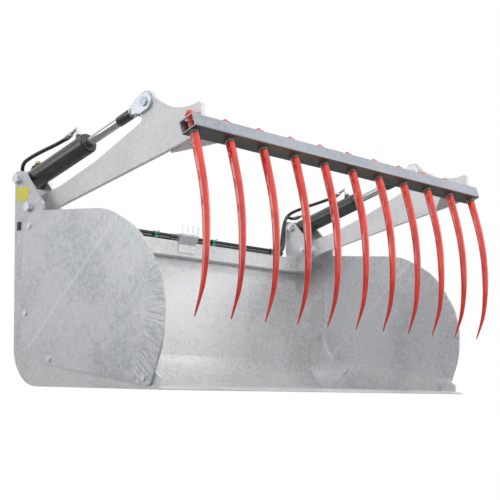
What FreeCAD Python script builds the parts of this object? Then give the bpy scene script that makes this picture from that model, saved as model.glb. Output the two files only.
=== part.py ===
import FreeCAD, Part
import math
import os

# Grab bucket for a tractor front loader: a galvanised bucket with a toothed grab
# that two hydraulic cylinders swing down onto the cutting edge.
# Frame, in mm: X across the bucket, Y towards the tractor, Z up.
# The origin is on the underside, half way across, 600 ahead of the rear edge.
# Outlines are written as (forward, up, corner radius), where forward is
# the distance ahead of the rear edge, so y = back_y - forward.

V = FreeCAD.Vector
doc = FreeCAD.newDocument("grab_bucket")
sheet = doc.addObject("Spreadsheet::Sheet", "sizes")
size = {}


def cell(alias, value, words):
    row = len(size) + 1
    sheet.set("A%d" % row, words)
    sheet.set("B%d" % row, "%.6g" % value)
    sheet.setAlias("B%d" % row, alias)
    size[alias] = value
    return value


# Bucket
back_y = cell("back_y", 600.0, "rear edge of the cheeks, from the origin")
half_width = cell("half_width", 1024.0, "outer face of a cheek from the middle")
cheek_thick = cell("cheek_thick", 12.0, "cheek plate")
side_thick = cell("side_thick", 10.0, "bolted side plate")
shell_thick = cell("shell_thick", 8.0, "rolled bottom and back sheet")
edge_thick = cell("edge_thick", 16.0, "cutting edge bar")
edge_front = cell("edge_front", 1065.0, "tip of the cutting edge ahead of the rear edge")
edge_ear = cell("edge_ear", 16.0, "how far the cutting edge stands out past a cheek")
box_wall = cell("box_wall", 6.0, "wall of the top box section")
tower_inset = cell("tower_inset", 140.0, "middle of an inner tower plate, in from a cheek's face")
tower_thick = cell("tower_thick", 12.0, "inner tower plate")
pivot_forward = cell("pivot_forward", 101.0, "arm pivot ahead of the rear edge")
pivot_up = cell("pivot_up", 811.0, "height of the arm pivot")
base_forward = cell("base_forward", 0.0, "cylinder base pin ahead of the rear edge")
base_up = cell("base_up", 951.0, "height of the cylinder base pin")
bolt_radius = cell("bolt_radius", 13.5, "shank of the tower bolts, M27")
hitch_mid = cell("hitch_mid", 545.0, "middle of a hitch bracket")
hitch_thick = cell("hitch_thick", 25.0, "hitch bracket plate")
eye_radius = cell("eye_radius", 16.0, "bore of the hitch eye for a 30 mm lock pin")
# Grab
arm_inset = cell("arm_inset", 72.0, "middle of an arm and of its cylinder, in from a cheek's face")
arm_thick = cell("arm_thick", 20.0, "arm plate")
tube_radius = cell("tube_radius", 30.0, "pivot tube of an arm")
arm_play = cell("arm_play", 20.0, "extra radius of the arm's bore round the rod pin")
beam_deep = cell("beam_deep", 85.0, "depth of the grab beam")
beam_high = cell("beam_high", 60.0, "height of the grab beam")
beam_wall = cell("beam_wall", 6.0, "wall of the grab beam")
beam_inset = cell("beam_inset", 6.0, "end of the grab beam, in from a cheek's face")
tine_end = cell("tine_end", 28.0, "last tine from the end of the beam")
shank_radius = cell("shank_radius", 18.0, "tine shank in its sleeve")
sleeve_radius = cell("sleeve_radius", 24.0, "sleeve welded through the beam")
# Cylinders
rod_forward = cell("rod_forward", 822.0, "rod pin ahead of the rear edge")
rod_up = cell("rod_up", 1190.0, "height of the rod pin")
barrel_radius = cell("barrel_radius", 46.0, "outside of the barrel")
bore_radius = cell("bore_radius", 38.0, "bore of the barrel")
rod_radius = cell("rod_radius", 20.0, "chromed piston rod")
barrel_long = cell("barrel_long", 438.0, "from the base pin to the open end")
rod_shown = cell("rod_shown", 227.0, "bare rod in the rest pose")
pin_radius = cell("pin_radius", 14.0, "rod pin")
hose_radius = cell("hose_radius", 9.0, "outside of a hose")
port_radius = cell("port_radius", 7.6, "feed port of the manifold, G 3/8 core")
play = cell("play", 0.05, "radial clearance of a running fit")
gap = cell("gap", 0.3, "clearance between faces that slide past each other")
doc.recompute()

cheek_in = half_width - cheek_thick
edge_half = half_width + edge_ear
tower_mid = half_width - tower_inset
arm_mid = half_width - arm_inset
beam_half = half_width - beam_inset
tine_pitch = (beam_half - tine_end) / 5

# The same places as expressions on the sheet
tower_at = "(sizes.half_width - sizes.tower_inset)"
tower_low = tower_at + " - sizes.tower_thick / 2"
arm_at = "(sizes.half_width - sizes.arm_inset)"
arm_low = arm_at + " - sizes.arm_thick / 2"
beam_end = "(sizes.half_width - sizes.beam_inset)"
between = "sizes.half_width - sizes.cheek_thick - " + tower_low
tower_out = tower_mid + tower_thick / 2
tower_in = tower_mid - tower_thick / 2


def corner_arcs(corners):
    """Straight edges and tangent arcs of a closed outline in Y and Z."""
    points = [(back_y - c[0], c[1], c[2] if len(c) > 2 else 0.0) for c in corners]
    count = len(points)
    ends = []
    arcs = []
    for i in range(count):
        ay, az, _ = points[i - 1]
        by, bz, radius = points[i]
        cy, cz, _ = points[(i + 1) % count]
        la = math.hypot(ay - by, az - bz)
        lc = math.hypot(cy - by, cz - bz)
        ua = ((ay - by) / la, (az - bz) / la)
        uc = ((cy - by) / lc, (cz - bz) / lc)
        half = math.acos(max(-1.0, min(1.0, ua[0] * uc[0] + ua[1] * uc[1]))) / 2
        if radius <= 0 or half > 1.5701:
            ends.append(((by, bz), (by, bz)))
            arcs.append(None)
            continue
        back = min(radius / math.tan(half), 0.48 * la, 0.48 * lc)
        radius = back * math.tan(half)
        first = (by + ua[0] * back, bz + ua[1] * back)
        last = (by + uc[0] * back, bz + uc[1] * back)
        mid = (ua[0] + uc[0], ua[1] + uc[1])
        long = math.hypot(mid[0], mid[1])
        reach = radius / math.sin(half) - radius
        arcs.append((by + mid[0] / long * reach, bz + mid[1] / long * reach))
        ends.append((first, last))
    edges = []
    for i in range(count):
        if arcs[i]:
            first, last = ends[i]
            edges.append(("arc", first, arcs[i], last))
        here = ends[i][1]
        there = ends[(i + 1) % count][0]
        if math.hypot(here[0] - there[0], here[1] - there[1]) > 1e-6:
            edges.append(("line", here, there))
    return edges


def draw(sketch, corners, holes=()):
    for edge in corner_arcs(corners):
        if edge[0] == "line":
            a, b = edge[1], edge[2]
            sketch.addGeometry(Part.LineSegment(V(a[0], a[1], 0), V(b[0], b[1], 0)))
        else:
            a, m, b = edge[1], edge[2], edge[3]
            sketch.addGeometry(Part.Arc(V(a[0], a[1], 0), V(m[0], m[1], 0), V(b[0], b[1], 0)))
    for forward, up, radius in holes:
        sketch.addGeometry(Part.Circle(V(back_y - forward, up, 0), V(0, 0, 1), radius))


def side_plane(body):
    for plane in body.Origin.OriginFeatures:
        if plane.Role == "YZ_Plane":
            return plane


def outline(body, name, corners, holes, start):
    """A sketch in the side view, moved across to the expression start."""
    sketch = body.newObject("Sketcher::SketchObject", name)
    sketch.AttachmentSupport = [(side_plane(body), "")]
    sketch.MapMode = "FlatFace"
    draw(sketch, corners, holes)
    sketch.setExpression("AttachmentOffset.Base.z", start)
    return sketch


def plate(label, corners, holes, start, thick):
    """A flat piece with its outline in the side view, padded towards +X."""
    body = doc.addObject("PartDesign::Body", label)
    sketch = outline(body, label + "_outline", corners, holes, start)
    pad = body.newObject("PartDesign::Pad", label + "_pad")
    pad.Profile = sketch
    pad.setExpression("Length", thick)
    doc.recompute()
    body.Tip = pad
    return body


def pocket(body, name, corners, start, depth):
    """A cut from the expression start towards -X."""
    before = body.Shape.Volume
    sketch = outline(body, name + "_outline", corners, (), start)
    cut = body.newObject("PartDesign::Pocket", name)
    cut.Profile = sketch
    cut.setExpression("Length", depth)
    doc.recompute()
    body.Tip = cut
    doc.recompute()
    if body.Shape.Volume > before - 1:
        raise RuntimeError(name + " cuts nothing")
    return cut


def rod(name, base, direction, radius, height):
    """A round bar bound to the sheet, from base along direction."""
    bar = doc.addObject("Part::Cylinder", name)
    bar.setExpression("Radius", radius)
    bar.setExpression("Height", height)
    bar.Placement = FreeCAD.Placement(V(*base), FreeCAD.Rotation(V(0, 0, 1), V(*direction)))
    return bar


def hexagon(name, base, direction, across, height):
    """A bolt head or a nut, across its corners from the expression."""
    prism = doc.addObject("Part::Prism", name)
    prism.Polygon = 6
    prism.setExpression("Circumradius", across)
    prism.setExpression("Height", height)
    prism.Placement = FreeCAD.Placement(V(*base), FreeCAD.Rotation(V(0, 0, 1), V(*direction)))
    return prism


def ring(name, base, direction, outer, inner, height):
    """A tube: two round bars, one cut from the other."""
    cut = doc.addObject("Part::Cut", name)
    cut.Base = rod(name + "_outside", base, direction, outer, height)
    cut.Tool = rod(name + "_inside", base, direction, inner, height)
    return cut


def joined(name, shapes):
    whole = doc.addObject("Part::MultiFuse", name)
    whole.Shapes = shapes
    return whole


def group(name, shapes):
    whole = doc.addObject("Part::Compound", name)
    whole.Links = shapes
    return whole


parts = []


def keep(node, made):
    made.Label = node
    parts.append((node, made))
    return made


# Bucket shell: rolled from one sheet, with a large radius at the rear bottom
lean = 66.0 / 990.0


def rear(up):
    return 36.0 - lean * up


box_low = 680.0
box_top = 765.0
box_front = 46.0
box_rear = rear(box_top) + 4.0
edge_rear = edge_front - 145.0
roll = 183.0
shell_line = [
    (edge_rear, 0.0),
    (rear(0) + 3, 0.0, roll),
    (rear(box_low) + 3, box_low),
    (rear(box_low) + 3 + shell_thick, box_low),
    (rear(0) + 3 + shell_thick, shell_thick, roll - shell_thick),
    (edge_rear, shell_thick),
]
keep("bucket_shell", plate("shell", shell_line, (), "-sizes.half_width + sizes.cheek_thick",
                           "2 * sizes.half_width - 2 * sizes.cheek_thick"))

# Top box section across the rear
box_line = [(box_front, box_low, 8), (box_front, box_top, 8), (box_rear, box_top, 8), (box_rear, box_low, 8)]
top_box = plate("box", box_line, (), "-sizes.half_width + sizes.cheek_thick",
                "2 * sizes.half_width - 2 * sizes.cheek_thick")
hollow = [
    (box_front - box_wall, box_low + box_wall, 3),
    (box_front - box_wall, box_top - box_wall, 3),
    (box_rear + box_wall, box_top - box_wall, 3),
    (box_rear + box_wall, box_low + box_wall, 3),
]
pocket(top_box, "box_hollow", hollow, "sizes.half_width", "2 * sizes.half_width")
keep("top_box", top_box)

# Cutting edge: a bar under the lip, with ears that stand out in front of the cheeks
cheek_front = 1036.0
bar = doc.addObject("Part::Box", "edge_bar")
bar.setExpression("Length", "2 * sizes.half_width - 2 * sizes.cheek_thick")
bar.Width = edge_front - edge_rear - 0.0
bar.setExpression("Height", "sizes.edge_thick")
bar.Placement.Base = V(-cheek_in, back_y - edge_front, 0)
ears = doc.addObject("Part::Box", "edge_ears")
ears.setExpression("Length", "2 * (sizes.half_width + sizes.edge_ear)")
ears.Width = edge_front - cheek_front
ears.setExpression("Height", "sizes.edge_thick")
ears.Placement.Base = V(-edge_half, back_y - edge_front, 0)
doc.recompute()
blank = joined("edge_blank", [bar, ears])
bevel = doc.addObject("Part::Wedge", "edge_bevel")
bevel.Xmin = 0
bevel.Xmax = 2 * edge_half + 20
bevel.X2min = 0
bevel.X2max = 2 * edge_half + 20
bevel.Ymin = -5
bevel.Ymax = 40
bevel.Zmin = 0
bevel.Zmax = 30
bevel.Z2min = edge_thick - 5
bevel.Z2max = 30
bevel.Placement.Base = V(-edge_half - 10, back_y - edge_front, 5)
edge_cut = doc.addObject("Part::Cut", "edge")
edge_cut.Base = blank
edge_cut.Tool = bevel
keep("cutting_edge", edge_cut)

# Cheeks: L-shaped plates whose rear leg carries on up as the outer tower plate
cheek_line = [
    (cheek_front, 0.0, 4),
    (cheek_front, 48.0, 8),
    (1010.0, 62.0, 20),
    (990.0, 77.0, 8),
    (152.0, 184.0, 112),
    (146.0, 735.0, 20),
    (200.0, 790.0, 20),
    (200.0, 822.0, 20),
    (40.0, 984.0, 14),
    (rear(990.0), 990.0, 14),
    (rear(0.0), 0.0, 185),
]
side_bolts = [(118.0, 721.0), (117.0, 324.0), (312.0, 120.0), (946.0, 44.0)]
side_bolt_radius = 8.0
cheek_holes = [(f, u, side_bolt_radius + gap) for f, u in side_bolts]
cheek_holes.append((pivot_forward, pivot_up, bolt_radius + play))
cheek_holes.append((base_forward, base_up, bolt_radius + play))
slot = [(2.0, 708.0, 3), (40.0, 708.0, 3), (40.0, 748.0, 3), (2.0, 748.0, 3)]
left_cheek = plate("cheek_l", cheek_line, cheek_holes, "-sizes.half_width", "sizes.cheek_thick")
pocket(left_cheek, "slot_l", slot, "-sizes.half_width + sizes.cheek_thick + 1", "sizes.cheek_thick + 2")
keep("left_cheek", left_cheek)
right_cheek = plate("cheek_r", cheek_line, cheek_holes, "sizes.half_width - sizes.cheek_thick",
                    "sizes.cheek_thick")
pocket(right_cheek, "slot_r", slot, "sizes.half_width + 1", "sizes.cheek_thick + 2")
keep("right_cheek", right_cheek)

# Side plates bolted outside the cheeks
side_line = [
    (77.0, 793.0, 95),
    (680.0, 748.0, 400),
    (905.0, 632.0, 400),
    (1058.0, 400.0, 330),
    (1052.0, 190.0, 330),
    (985.0, 13.0, 28),
    (257.0, 100.0, 60),
    (90.0, 215.0, 100),
    (77.0, 330.0, 60),
]
side_holes = [(f, u, side_bolt_radius + gap) for f, u in side_bolts]
keep("left_side_plate", plate("side_l", side_line, side_holes, "-sizes.half_width - sizes.side_thick",
                              "sizes.side_thick"))
keep("right_side_plate", plate("side_r", side_line, side_holes, "sizes.half_width", "sizes.side_thick"))

# Their bolts: round-headed with a hexagon nut inside the cheek
made = []
for side in (-1, 1):
    for number, (forward, up) in enumerate(side_bolts):
        tag = "side_bolt_%s%d" % ("l" if side < 0 else "r", number + 1)
        y = back_y - forward
        outer = side * (half_width + side_thick)
        shank = rod(tag + "_shank", (outer, y, up), (-side, 0, 0), "8",
                    "sizes.side_thick + sizes.cheek_thick + 14")
        head = rod(tag + "_head", (outer, y, up), (side, 0, 0), "12.5", "6")
        nut = hexagon(tag + "_nut", (side * cheek_in, y, up), (-side, 0, 0), "13.9", "12")
        made.append(joined(tag, [shank, head, nut]))
keep("side_plate_bolts", group("side_bolt_group", made))

# Inner tower plates: stand on the top box and hook down over its front
hook_line = [
    (-40.0, box_top, 6),
    (box_front, box_top, 0),
    (box_front, 692.0, 4),
    (112.0, 686.0, 10),
    (138.0, 760.0, 30),
    (138.0, 846.0, 20),
    (12.0, 978.0, 12),
    (-40.0, 990.0, 12),
    (-66.0, 970.0, 12),
]
tower_holes = [
    (pivot_forward, pivot_up, bolt_radius + play),
    (base_forward, base_up, bolt_radius + play),
]
keep("left_inner_tower", plate("tower_l", hook_line, tower_holes,
                               "-" + tower_low, "sizes.tower_thick"))
keep("right_inner_tower", plate("tower_r", hook_line, tower_holes,
                                tower_low, "sizes.tower_thick"))

# Tower bolts, heads outside, nuts inside
bolts = []
nuts = []
for side in (-1, 1):
    for number, (forward, up) in enumerate(((pivot_forward, pivot_up), (base_forward, base_up))):
        tag = "tower_bolt_%s%d" % ("l" if side < 0 else "r", number + 1)
        y = back_y - forward
        washer = rod(tag + "_washer", (side * half_width, y, up), (side, 0, 0), "25", "4")
        head = hexagon(tag + "_head", (side * (half_width + 4), y, up), (side, 0, 0), "23.7", "17")
        shank = rod(tag + "_shank", (side * half_width, y, up), (-side, 0, 0), "sizes.bolt_radius",
                    "sizes.half_width - " + tower_at + " + sizes.tower_thick / 2 + 30")
        bolts.append(joined(tag, [washer, head, shank]))
        nut = hexagon(tag + "_nut", (side * tower_in, y, up), (-side, 0, 0), "23.7", "22")
        hole = rod(tag + "_thread", (side * tower_in, y, up), (-side, 0, 0),
                   "sizes.bolt_radius + sizes.play", "22")
        cut = doc.addObject("Part::Cut", tag + "_nut_cut")
        cut.Base = nut
        cut.Tool = hole
        nuts.append(cut)
keep("tower_bolts", group("tower_bolt_group", bolts))
keep("tower_nuts", group("tower_nut_group", nuts))

# Hitch brackets on the back: a hook for the carrier's top bar, an eye for its lock pin
eye_forward = -58.0
eye_up = 190.0
hitch_line = [
    (rear(640.0) + 2.95, 640.0),
    (rear(195.0) + 2.95, 195.0),
    (-20.0, 130.0, 20),
    (-104.0, 140.0, 45),
    (-104.0, 245.0, 45),
    (-34.0, 300.0, 30),
    (-44.0, 590.0, 20),
    (-94.0, 590.0, 20),
    (-94.0, 545.0, 4),
    (-120.0, 545.0, 8),
    (-120.0, 640.0, 40),
]
eye = [(eye_forward, eye_up, eye_radius)]
keep("left_hitch_bracket", plate("hitch_l", hitch_line, eye,
                                 "-sizes.hitch_mid - sizes.hitch_thick / 2", "sizes.hitch_thick"))
keep("right_hitch_bracket", plate("hitch_r", hitch_line, eye,
                                  "sizes.hitch_mid - sizes.hitch_thick / 2", "sizes.hitch_thick"))

# Manifold on the top box, the folded bracket in front of it and its hose comb
solid_block = doc.addObject("Part::Box", "solid_block")
solid_block.Length = 104
solid_block.Width = 44
solid_block.Height = 40
solid_block.Placement.Base = V(-52, back_y - box_front + 4, box_top)
ports = []
for number, x in enumerate((-26, 26)):
    ports.append(rod("feed_port_%d" % (number + 1), (x, back_y + 3, box_top + 20), (0, -1, 0),
                     "sizes.port_radius", "17"))
block = doc.addObject("Part::Cut", "block")
block.Base = solid_block
block.Tool = group("feed_ports", ports)
keep("manifold_block", block)
bracket_line = [
    (box_front, 706.0),
    (box_front, 750.0, 3),
    (72.0, 792.0, 3),
    (72.0, 800.0),
    (76.0, 800.0),
    (76.0, 790.5, 7),
    (box_front + 4, 748.5, 7),
    (box_front + 4, 706.0),
]
keep("hose_bracket", plate("bracket", bracket_line, (), "-60", "120"))
comb_parts = [plate("comb_back", [(72, 800), (72, 812), (76, 812), (76, 800)], (), "-60", "120")]
for number, middle in enumerate((-55, -18.5, 18.5, 55)):
    tag = "comb_finger_%d" % (number + 1)
    comb_parts.append(plate(tag, [(72, 811), (72, 850), (76, 850), (76, 811)], (), "%g" % (middle - 5), "10"))
keep("hose_comb", joined("comb", comb_parts))

# Grab: two arms, the beam, eleven sleeves and tines
tilt = math.radians(20.0)
beam_forward = 1139.5
beam_up = 1038.0


def on_beam(rearward, upward):
    """A point given from the beam's middle, in the beam's own tilted axes."""
    forward = beam_forward - rearward * math.cos(tilt) - upward * math.sin(tilt)
    up = beam_up - rearward * math.sin(tilt) + upward * math.cos(tilt)
    return (forward, up)


def on_beam_r(rearward, upward, radius):
    return on_beam(rearward, upward) + (radius,)


half_deep = beam_deep / 2
half_high = beam_high / 2
beam_line = [
    on_beam_r(-half_deep, half_high, 7),
    on_beam_r(half_deep, half_high, 7),
    on_beam_r(half_deep, -half_high, 7),
    on_beam_r(-half_deep, -half_high, 7),
]
beam = plate("beam", beam_line, (), "-" + beam_end, "2 * " + beam_end)
inner_deep = half_deep - beam_wall
inner_high = half_high - beam_wall
beam_hollow = [
    on_beam_r(-inner_deep, inner_high, 2),
    on_beam_r(inner_deep, inner_high, 2),
    on_beam_r(inner_deep, -inner_high, 2),
    on_beam_r(-inner_deep, -inner_high, 2),
]
pocket(beam, "beam_hollow", beam_hollow, beam_end + " + 1", "2 * " + beam_end + " + 2")
tine_x = [(i - 5) * tine_pitch for i in range(11)]
up_axis = (0, math.sin(tilt), math.cos(tilt))


def in_space(x, forward_up):
    return (x, back_y - forward_up[0], forward_up[1])


drills = []
for number, x in enumerate(tine_x):
    start = in_space(x, on_beam(0, -60))
    drills.append(rod("beam_drill_%02d" % (number + 1), start, up_axis, "sizes.sleeve_radius", "120"))
drilled = doc.addObject("Part::Cut", "drilled_beam")
drilled.Base = beam
drilled.Tool = group("beam_drills", drills)
keep("grab_beam", drilled)

sleeves = []
tine_nuts = []
for number, x in enumerate(tine_x):
    tag = "%02d" % (number + 1)
    low = in_space(x, on_beam(0, -half_high - 11))
    sleeves.append(ring("sleeve_" + tag, low, up_axis, "sizes.sleeve_radius - 0.02",
                        "sizes.shank_radius + sizes.play", "sizes.beam_high + 13"))
    top = in_space(x, on_beam(0, half_high + 2.3))
    nut = hexagon("tine_nut_blank_" + tag, top, up_axis, "21.5", "19")
    thread = rod("tine_thread_" + tag, top, up_axis, "12 + sizes.play", "19")
    cut = doc.addObject("Part::Cut", "tine_nut_" + tag)
    cut.Base = nut
    cut.Tool = thread
    tine_nuts.append(cut)
keep("tine_sleeves", group("sleeve_group", sleeves))
keep("tine_nuts", group("tine_nut_group", tine_nuts))

# One tine: threaded end, plain shank, shoulder and a curved blade tapered to a point
blade = [
    on_beam(0, -half_high - 11.3) + (0.0,),
    (1174.0, 935.0, 0.0),
    (1205.0, 826.0, 0.0),
    (1226.0, 720.0, 0.0),
    (1236.0, 612.0, 0.0),
    (1236.0, 505.0, 0.0),
    (1222.0, 395.0, 0.0),
    (1183.0, 282.0, 0.0),
]
blade_radius = [19.5, 18.8, 18.0, 17.0, 15.5, 13.0, 9.5, 2.5]


def blade_direction(i):
    a = blade[max(i - 1, 0)]
    b = blade[min(i + 1, len(blade) - 1)]
    y = a[0] - b[0]
    z = b[1] - a[1]
    long = math.hypot(y, z)
    return (y / long, z / long)


def make_tine(number, x):
    tag = "tine_%02d" % number
    body = doc.addObject("PartDesign::Body", tag + "_blade")
    rings = []
    for i, (forward, up, _) in enumerate(blade):
        sketch = body.newObject("Sketcher::SketchObject", "%s_ring_%d" % (tag, i + 1))
        for plane in body.Origin.OriginFeatures:
            if plane.Role == "XY_Plane":
                sketch.AttachmentSupport = [(plane, "")]
        sketch.MapMode = "FlatFace"
        along = blade_direction(i)
        if i == 0:
            along = (-math.sin(tilt), -math.cos(tilt))
        turn = FreeCAD.Rotation(V(1, 0, 0), V(0, -along[1], along[0]), V(0, along[0], along[1]), "XZY")
        sketch.AttachmentOffset = FreeCAD.Placement(V(x, back_y - forward, up), turn)
        sketch.addGeometry(Part.Circle(V(0, 0, 0), V(0, 0, 1), blade_radius[i]))
        rings.append(sketch)
    loft = body.newObject("PartDesign::AdditiveLoft", tag + "_loft")
    loft.Profile = rings[0]
    loft.Sections = rings[1:]
    loft.Ruled = False
    low = in_space(x, on_beam(0, -half_high - 11.3))
    shank = rod(tag + "_shank", low, up_axis, "sizes.shank_radius", "sizes.beam_high + 13.4")
    high = in_space(x, on_beam(0, half_high + 2))
    thread = rod(tag + "_thread", high, up_axis, "12", "30")
    keep(tag, joined(tag + "_whole", [body, shank, thread]))


for number, x in enumerate(tine_x):
    make_tine(number + 1, x)

# Arms: profile plates with a pivot tube through the rear end
def under_cylinder(forward, drop):
    """A height below the line from the base pin to the rod pin."""
    return base_up + (rod_up - base_up) * (forward - base_forward) / (rod_forward - base_forward) - drop


arm_line = [
    (52.0, 861.0, 50),
    (52.0, 756.0, 50),
    (205.0, 801.0, 60),
    (1048.0, 983.5, 120),
    on_beam_r(half_deep, -half_high + 5, 0),
    on_beam_r(half_deep, half_high, 0),
    on_beam_r(-half_deep + 9, half_high, 0),
    (1158.0, 1142.0, 18),
    (1090.0, 1127.0, 150),
    (985.0, 1138.0, 200),
    (rod_forward + 56, rod_up + 6, 120),
    (rod_forward + 20, rod_up + 48, 16),
    (rod_forward - 46, rod_up + 50, 48),
    (rod_forward - 46, rod_up - 44, 40),
    (rod_forward - 23, rod_up - 62, 14),
    (rod_forward - 32, rod_up - 83, 20),
    (500.0, under_cylinder(500, 112.3771), 700),
    (250.0, under_cylinder(250, 120.6886), 500),
]
arm_holes = [
    (pivot_forward, pivot_up, tube_radius),
    (rod_forward, rod_up, pin_radius + arm_play),
]
keep("left_arm", plate("arm_l", arm_line, arm_holes, "-" + arm_low,
                       "sizes.arm_thick"))
keep("right_arm", plate("arm_r", arm_line, arm_holes, arm_low,
                        "sizes.arm_thick"))
for side, name in ((-1, "left"), (1, "right")):
    start = side * (tower_out + 1)
    keep(name + "_pivot_tube", ring(name + "_tube", (start, back_y - pivot_forward, pivot_up), (side, 0, 0),
                                    "sizes.tube_radius - 0.02", "sizes.bolt_radius + sizes.play",
                                    between + " - 2"))

# Corner braces between the inside of each arm and the beam
for side, name in ((-1, "left"), (1, "right")):
    inner = side * (arm_mid - arm_thick / 2)
    far = side * (arm_mid - arm_thick / 2 - 150)
    heel = on_beam(half_deep, -half_high + 12)
    toe = on_beam(half_deep + 150, -half_high + 12)
    lift = on_beam(half_deep, -half_high + 22)
    a = V(inner, back_y - heel[0], heel[1])
    b = V(far, back_y - heel[0], heel[1])
    c = V(inner, back_y - toe[0], toe[1])
    wire = doc.addObject("Part::Polygon", name + "_brace_outline")
    wire.Nodes = [a, b, c]
    wire.Close = True
    brace = doc.addObject("Part::Extrusion", name + "_brace")
    brace.Base = wire
    brace.Dir = V(0, heel[0] - lift[0], lift[1] - heel[1])
    brace.DirMode = "Custom"
    brace.LengthFwd = 10
    brace.Solid = True
    keep(name + "_arm_brace", brace)

# Cylinders: local axis from the base pin to the rod pin
span = math.hypot(rod_forward - base_forward, rod_up - base_up)
cos_lift = (rod_forward - base_forward) / span
sin_lift = (rod_up - base_up) / span
axis = (0, -cos_lift, sin_lift)
over = (0, sin_lift, cos_lift)


def on_cylinder(x, along, above):
    forward = base_forward + along * cos_lift - above * sin_lift
    up = base_up + along * sin_lift + above * cos_lift
    return (x, back_y - forward, up)


def on_axis(along, above, radius=0.0):
    _, y, z = on_cylinder(0, along, above)
    return (back_y - y, z, radius)


cap_inner = 92.0
gland_long = 62.0
rod_port = 385.0
base_port = 66.0
sleeve_start = barrel_long + rod_shown
sleeve_long = 104.0
fork_start = sleeve_start + sleeve_long
for side, name in ((-1, "left"), (1, "right")):
    x = side * arm_mid
    # Barrel: tube, closed base, cross tube for the pin and two port bosses, all welded
    tube = rod(name + "_barrel_tube", on_cylinder(x, 16, 0), axis, "sizes.barrel_radius",
               "sizes.barrel_long - 16")
    pin_start = (side * (tower_out + 1), back_y - base_forward, base_up)
    cross = rod(name + "_barrel_cross", pin_start, (side, 0, 0), "32", between + " - 2")
    port_a = rod(name + "_boss_a", on_cylinder(x, rod_port, 30), over, "15", "30")
    port_b = rod(name + "_boss_b", on_cylinder(x, base_port, 30), over, "15", "30")
    solid = joined(name + "_barrel_solid", [tube, cross, port_a, port_b])
    bore = rod(name + "_bore", on_cylinder(x, cap_inner, 0), axis, "sizes.bore_radius",
               "sizes.barrel_long - 92 + 1")
    hole = rod(name + "_pin_hole", (side * (tower_out - 5), back_y - base_forward, base_up), (side, 0, 0),
               "sizes.bolt_radius + sizes.play", "150")
    way_a = rod(name + "_way_a", on_cylinder(x, rod_port, 20), over, "5", "60")
    cavity = joined(name + "_barrel_cavity", [bore, hole, way_a])
    barrel = doc.addObject("Part::Cut", name + "_barrel_cut")
    barrel.Base = solid
    barrel.Tool = cavity
    keep(name + "_barrel", barrel)
    # Gland screwed into the open end
    collar = ring(name + "_gland_inner", on_cylinder(x, barrel_long - gland_long, 0), axis,
                  "sizes.bore_radius - 0.02", "sizes.rod_radius + sizes.play", "62")
    lip = ring(name + "_gland_lip", on_cylinder(x, barrel_long, 0), axis,
               "sizes.barrel_radius - 6", "sizes.rod_radius + sizes.play", "9")
    keep(name + "_gland", joined(name + "_gland_whole", [collar, lip]))
    # Piston and rod
    piston_at = barrel_long - gland_long - 84.0
    keep(name + "_piston", ring(name + "_piston_ring", on_cylinder(x, piston_at, 0), axis,
                                "sizes.bore_radius - sizes.play", "sizes.rod_radius - 4", "40"))
    thin = rod(name + "_rod_thin", on_cylinder(x, piston_at - 14, 0), axis, "sizes.rod_radius - 4.02", "56")
    main_start = piston_at + 40.0
    main = rod(name + "_rod_main", on_cylinder(x, main_start, 0), axis, "sizes.rod_radius",
               "%g" % (sleeve_start + 30 - main_start))
    keep(name + "_rod", joined(name + "_rod_whole", [thin, main]))
    # Black rod end sleeve
    outer = rod(name + "_sleeve_out", on_cylinder(x, sleeve_start, 0), axis, "23", "%g" % sleeve_long)
    neck = rod(name + "_sleeve_bore", on_cylinder(x, sleeve_start, 0), axis, "sizes.rod_radius + 0.02", "30")
    end = doc.addObject("Part::Cut", name + "_sleeve")
    end.Base = outer
    end.Tool = neck
    keep(name + "_rod_sleeve", end)
    # Fork that straddles the arm
    fork_x = "%d * " % side + arm_low + " - 13"
    tip = span + 38.0
    fork_line = [
        on_axis(fork_start, -22, 3),
        on_axis(fork_start, 22, 3),
        on_axis(fork_start + 20, 24, 12),
        on_axis(span - 42, 38, 20),
        on_axis(tip, 38, 37),
        on_axis(tip, -38, 37),
        on_axis(span - 42, -38, 20),
        on_axis(fork_start + 20, -24, 12),
    ]
    pin_at = (rod_forward, rod_up, pin_radius + 0.02)
    fork = plate(name + "_fork_body", fork_line, [pin_at], fork_x, "sizes.arm_thick + 26")
    mouth = [
        on_axis(fork_start + 14, -60),
        on_axis(fork_start + 14, 60),
        on_axis(tip + 20, 60),
        on_axis(tip + 20, -60),
    ]
    fork_out = "%d * " % side + arm_at + " + sizes.arm_thick / 2 + sizes.gap"
    pocket(fork, name + "_fork_mouth", mouth, fork_out, "sizes.arm_thick + 2 * sizes.gap")
    keep(name + "_fork", fork)
    # Rod pin with a head on the outside
    pin_y = back_y - rod_forward
    wide = arm_thick / 2 + 13
    shank = rod(name + "_pin_shank", (x - side * (wide + 9), pin_y, rod_up), (side, 0, 0),
                "sizes.pin_radius", "sizes.arm_thick + 26 + 9 + 4")
    head = rod(name + "_pin_head", (x + side * wide, pin_y, rod_up), (side, 0, 0), "20", "7")
    keep(name + "_rod_pin", joined(name + "_pin", [shank, head]))
doc.recompute()


def smooth_path(points):
    """Straight runs joined by tangent arcs, as one wire."""
    edges = []
    here = V(*points[0])
    for i in range(1, len(points) - 1):
        a = V(*points[i - 1])
        b = V(*points[i])
        c = V(*points[i + 1])
        u = (a - b).normalize()
        w = (c - b).normalize()
        turn = math.pi - u.getAngle(w)
        run = min((a - b).Length, (c - b).Length)
        radius = min(0.45 * run / math.tan(turn / 2), 160.0)
        back = radius * math.tan(turn / 2)
        first = b + u * back
        last = b + w * back
        middle = (u + w).normalize()
        centre_far = radius / math.cos(turn / 2)
        mid = b + middle * (centre_far - radius)
        edges.append(Part.LineSegment(here, first).toShape())
        edges.append(Part.Arc(first, mid, last).toShape())
        here = last
    edges.append(Part.LineSegment(here, V(*points[-1])).toShape())
    return Part.Wire(edges)


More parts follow.
